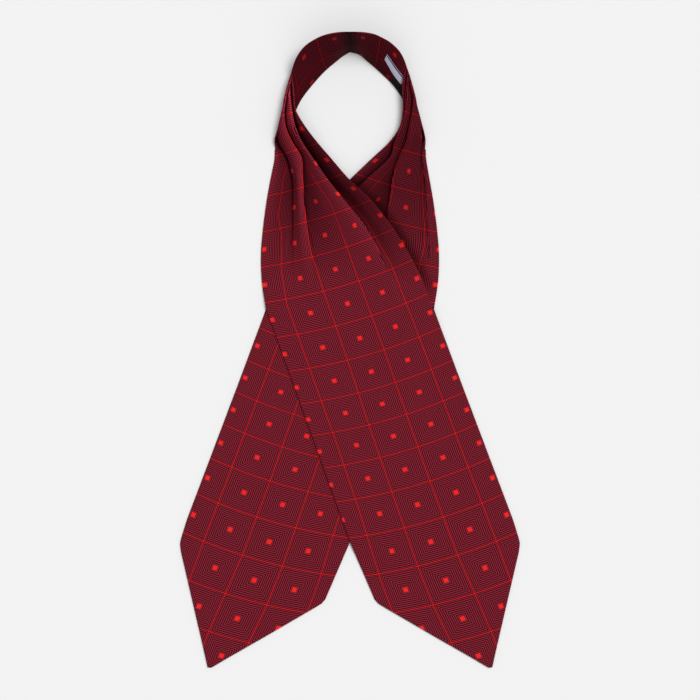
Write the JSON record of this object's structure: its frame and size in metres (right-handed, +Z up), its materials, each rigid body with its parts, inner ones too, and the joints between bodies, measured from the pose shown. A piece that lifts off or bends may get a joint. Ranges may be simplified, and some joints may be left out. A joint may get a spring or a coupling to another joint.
{
  "type": "silk cravat",
  "caption": "Silk day cravat laid flat: a pleated neck loop whose two wide pointed blades cross at the front and end side by side.",
  "frame": {"origin": "centre of the cravat's box in plan, on the surface that it lies on", "axes": "+Y runs from the blades' points to the back of the neck, +Z up from the surface, +X to the side where the upper blade ends"},
  "size_m": [0.3206, 0.5998, 0.0397],
  "materials": {
    "silk_outside": "burgundy woven silk with fine concentric squares, bright red windowpane lines and one small red square in each pane, soft sheen",
    "silk_inside": "the same woven silk on the inner face of the neckband, darker in its own shade",
    "label_satin": "pale lavender-grey woven satin, bare",
    "care_satin": "black satin ribbon, bare"
  },
  "bodies": {
    "root": {"neckband_left": "silk_inside", "neckband_right": "silk_inside", "neck_over": "silk_outside", "neck_under": "silk_outside", "blade_over": "silk_outside", "blade_under": "silk_outside", "label": "label_satin", "care_label": "care_satin"}
  },
  "joints": []
}
